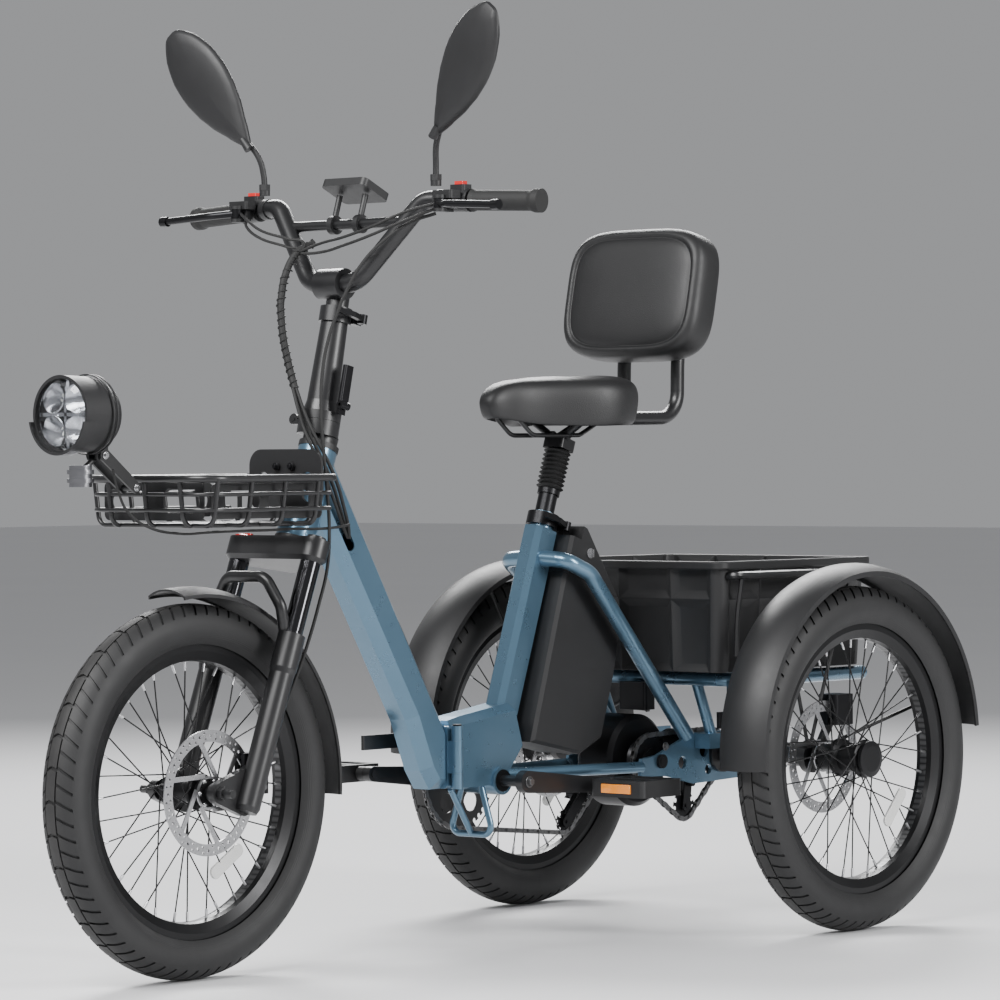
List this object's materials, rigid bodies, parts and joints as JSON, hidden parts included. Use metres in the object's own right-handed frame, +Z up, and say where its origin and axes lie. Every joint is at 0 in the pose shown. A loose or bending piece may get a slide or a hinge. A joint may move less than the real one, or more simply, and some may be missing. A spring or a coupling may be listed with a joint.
{
  "type": "adult electric folding tricycle",
  "caption": "Folding electric tricycle for an adult: low step-through frame, suspension fork, padded seat with backrest, front wire basket and rear crate between two wheels.",
  "frame": {"origin": "on the ground under the middle of the overall box", "axes": "+Z up, -Y towards the front wheel, +X to the rider's left"},
  "size_m": [0.77, 1.6799, 1.3838],
  "materials": {
    "frame_paint": "satin metallic blue-grey paint on aluminium",
    "black_paint": "satin black paint",
    "black_metal": "black anodised",
    "silver": "polished",
    "steel": "plain steel",
    "black_plastic": "fine-grained black",
    "red_plastic": "glossy red",
    "rubber": "matt black",
    "tyre": "black tread rubber",
    "seat_cover": "black grained synthetic leather over foam",
    "glass": "clear ribbed lens"
  },
  "bodies": {
    "rear_frame": {"rear_frame": "frame_paint", "rear_rack": "frame_paint", "axle_housing": "black_paint", "rear_mudguards": "black_plastic", "rear_calipers": "black_metal", "rear_basket": "black_plastic", "battery_case": "black_plastic", "rear_fittings": "black_metal", "folding_stand": "frame_paint", "chains": "steel", "derailleur": "black_metal"},
    "front_frame": {"front_frame": "frame_paint", "basket_frame": "black_paint", "basket_panels": "black_plastic", "front_fittings": "black_metal", "control_cables": "rubber"},
    "frame_latch": {"frame_latch": "black_metal"},
    "headlamp": {"headlamp": "black_plastic", "headlamp_lens": "glass"},
    "steering": {"fork_crown": "black_metal", "fork_stanchions": "black_metal"},
    "lock_dial": {"lock_dial": "red_plastic"},
    "fork_lowers": {"fork_lowers": "black_metal", "front_mudguard": "black_plastic", "front_caliper": "black_metal"},
    "front_wheel": {"front_tyre": "tyre", "front_rim": "black_metal", "front_hub": "black_metal"},
    "handlepost": {"handlepost": "black_paint"},
    "post_latch": {"post_latch": "black_metal"},
    "post_clamp_lever": {"post_clamp_lever": "black_metal"},
    "bars": {"inner_post": "black_metal", "handlebar": "black_paint", "grips": "rubber", "bar_controls": "black_plastic"},
    "brake_lever_left": {"brake_lever_left": "black_metal"},
    "brake_lever_right": {"brake_lever_right": "black_metal"},
    "mirror_left": {"mirror_left": "black_plastic"},
    "mirror_right": {"mirror_right": "black_plastic"},
    "light_switch": {"light_switch": "red_plastic"},
    "horn_switch": {"horn_switch": "red_plastic"},
    "seat_post": {"seat_post": "black_metal", "seat_bellows": "rubber"},
    "seat": {"seat_frame": "black_paint", "saddle": "seat_cover", "backrest_pad": "seat_cover"},
    "seat_clamp_lever": {"seat_clamp_lever": "black_metal"},
    "battery_key": {"battery_key": "steel"},
    "crankset": {"crankset": "black_metal"},
    "pedal_left": {"pedal_left": "black_plastic"},
    "pedal_right": {"pedal_right": "black_plastic"},
    "mid_hub": {"hub_motor": "black_metal", "cassette": "steel"},
    "rear_drive": {"rear_axle": "black_metal"},
    "rear_wheel_left": {"rear_tyre_left": "tyre", "rear_rim_left": "black_metal", "rear_hub_left": "black_metal"},
    "rear_wheel_right": {"rear_tyre_right": "tyre", "rear_rim_right": "black_metal", "rear_hub_right": "black_metal"}
  },
  "joints": [
    {"name": "frame_fold", "type": "hinge", "parent": "rear_frame", "child": "front_frame", "pos_m": [0.04, -0.0485, 0.29], "axis": [0, 0, -1], "range_deg": [-95, 0]},
    {"name": "frame_latch", "type": "hinge", "parent": "rear_frame", "child": "frame_latch", "pos_m": [-0.044, -0.042, 0.31], "axis": [0, 0, -1], "range_deg": [0, 110]},
    {"name": "headlamp_tilt", "type": "hinge", "parent": "front_frame", "child": "headlamp", "pos_m": [0, -0.752, 0.75], "axis": [1, 0, 0], "range_deg": [-20, 12]},
    {"name": "steering", "type": "hinge", "parent": "front_frame", "child": "steering", "pos_m": [0, -0.307, 0.755], "axis": [0, -0.3584, -0.9336], "range_deg": [-35, 35], "deforming": ["control_cables"]},
    {"name": "lock_dial", "type": "hinge", "parent": "steering", "child": "lock_dial", "pos_m": [-0.072, -0.38744, 0.62414], "axis": [0, 0.3584, 0.9336], "range_deg": [0, 90]},
    {"name": "fork_suspension", "type": "slide", "parent": "steering", "child": "fork_lowers", "axis": [0, 0.3584, 0.9336], "range_m": [0, 0.04], "stiffness_N_per_m": 9000, "springref_m": -0.02},
    {"name": "front_wheel_spin", "type": "hinge", "parent": "fork_lowers", "child": "front_wheel", "pos_m": [0, -0.581, 0.269], "axis": [1, 0, 0], "continuous": true},
    {"name": "handlepost_fold", "type": "hinge", "parent": "steering", "child": "handlepost", "pos_m": [-0.033, -0.303, 0.797], "axis": [0, -0.9744, 0.225], "range_deg": [0, 90]},
    {"name": "post_latch", "type": "hinge", "parent": "handlepost", "child": "post_latch", "pos_m": [0.044, -0.2976, 0.82038], "axis": [0, 0.9744, -0.225], "range_deg": [0, 100]},
    {"name": "post_height", "type": "slide", "parent": "handlepost", "child": "bars", "axis": [0, 0.225, 0.9744], "range_m": [0, 0.08]},
    {"name": "post_clamp_lever", "type": "hinge", "parent": "handlepost", "child": "post_clamp_lever", "pos_m": [0.029, -0.2395, 0.94757], "axis": [0, 0.225, 0.9744], "range_deg": [0, 100]},
    {"name": "brake_lever_left", "type": "hinge", "parent": "bars", "child": "brake_lever_left", "pos_m": [0.206, -0.264, 1.112], "axis": [0, 0, 1], "range_deg": [0, 18], "stiffness_Nm_per_rad": 2, "springref_deg": -17.19},
    {"name": "brake_lever_right", "type": "hinge", "parent": "bars", "child": "brake_lever_right", "pos_m": [-0.206, -0.264, 1.112], "axis": [0, 0, -1], "range_deg": [0, 18], "stiffness_Nm_per_rad": 2, "springref_deg": -17.19},
    {"name": "mirror_left_turn", "type": "hinge", "parent": "bars", "child": "mirror_left", "pos_m": [0.174, -0.236, 1.147], "axis": [0, 0, 1], "range_deg": [-40, 25]},
    {"name": "mirror_right_turn", "type": "hinge", "parent": "bars", "child": "mirror_right", "pos_m": [-0.174, -0.236, 1.147], "axis": [0, 0, -1], "range_deg": [-40, 25]},
    {"name": "light_switch", "type": "slide", "parent": "bars", "child": "light_switch", "axis": [0, 0, -1], "range_m": [0, 0.002], "stiffness_N_per_m": 400, "springref_m": -0.001},
    {"name": "horn_switch", "type": "slide", "parent": "bars", "child": "horn_switch", "axis": [0, 0, -1], "range_m": [0, 0.002], "stiffness_N_per_m": 400, "springref_m": -0.001},
    {"name": "crank_spin", "type": "hinge", "parent": "rear_frame", "child": "crankset", "pos_m": [0, 0.061, 0.249], "axis": [1, 0, 0], "continuous": true},
    {"name": "pedal_left_spin", "type": "hinge", "parent": "crankset", "child": "pedal_left", "pos_m": [0.1, 0.23235, 0.23401], "axis": [1, 0, 0], "continuous": true},
    {"name": "pedal_right_spin", "type": "hinge", "parent": "crankset", "child": "pedal_right", "pos_m": [-0.1, -0.11035, 0.26399], "axis": [1, 0, 0], "continuous": true},
    {"name": "mid_hub_spin", "type": "hinge", "parent": "rear_frame", "child": "mid_hub", "pos_m": [0, 0.389, 0.262], "axis": [1, 0, 0], "continuous": true},
    {"name": "rear_drive_spin", "type": "hinge", "parent": "rear_frame", "child": "rear_drive", "pos_m": [0, 0.541, 0.269], "axis": [1, 0, 0], "continuous": true},
    {"name": "rear_wheel_left_spin", "type": "hinge", "parent": "rear_frame", "child": "rear_wheel_left", "pos_m": [0.341, 0.541, 0.269], "axis": [1, 0, 0], "continuous": true},
    {"name": "rear_wheel_right_spin", "type": "hinge", "parent": "rear_frame", "child": "rear_wheel_right", "pos_m": [-0.341, 0.541, 0.269], "axis": [1, 0, 0], "continuous": true},
    {"name": "seat_height", "type": "slide", "parent": "rear_frame", "child": "seat_post", "axis": [0, 0.3256, 0.9455], "range_m": [-0.02, 0.12]},
    {"name": "seat_suspension", "type": "slide", "parent": "seat_post", "child": "seat", "axis": [0, 0.3256, 0.9455], "range_m": [-0.03, 0], "stiffness_N_per_m": 20000, "springref_m": 0.004, "deforming": ["seat_bellows"]},
    {"name": "seat_clamp_lever", "type": "hinge", "parent": "rear_frame", "child": "seat_clamp_lever", "pos_m": [0.0245, 0.22551, 0.63421], "axis": [0, 0.3256, 0.9455], "range_deg": [0, 90]},
    {"name": "battery_key", "type": "hinge", "parent": "rear_frame", "child": "battery_key", "pos_m": [0.0465, 0.258, 0.592], "axis": [1, 0, 0], "range_deg": [0, 90]}
  ],
  "couplings": [
    {"joint": "mid_hub_spin", "follows": "crank_spin", "ratio": 2.1111},
    {"joint": "rear_drive_spin", "follows": "crank_spin", "ratio": 2.3457}
  ]
}
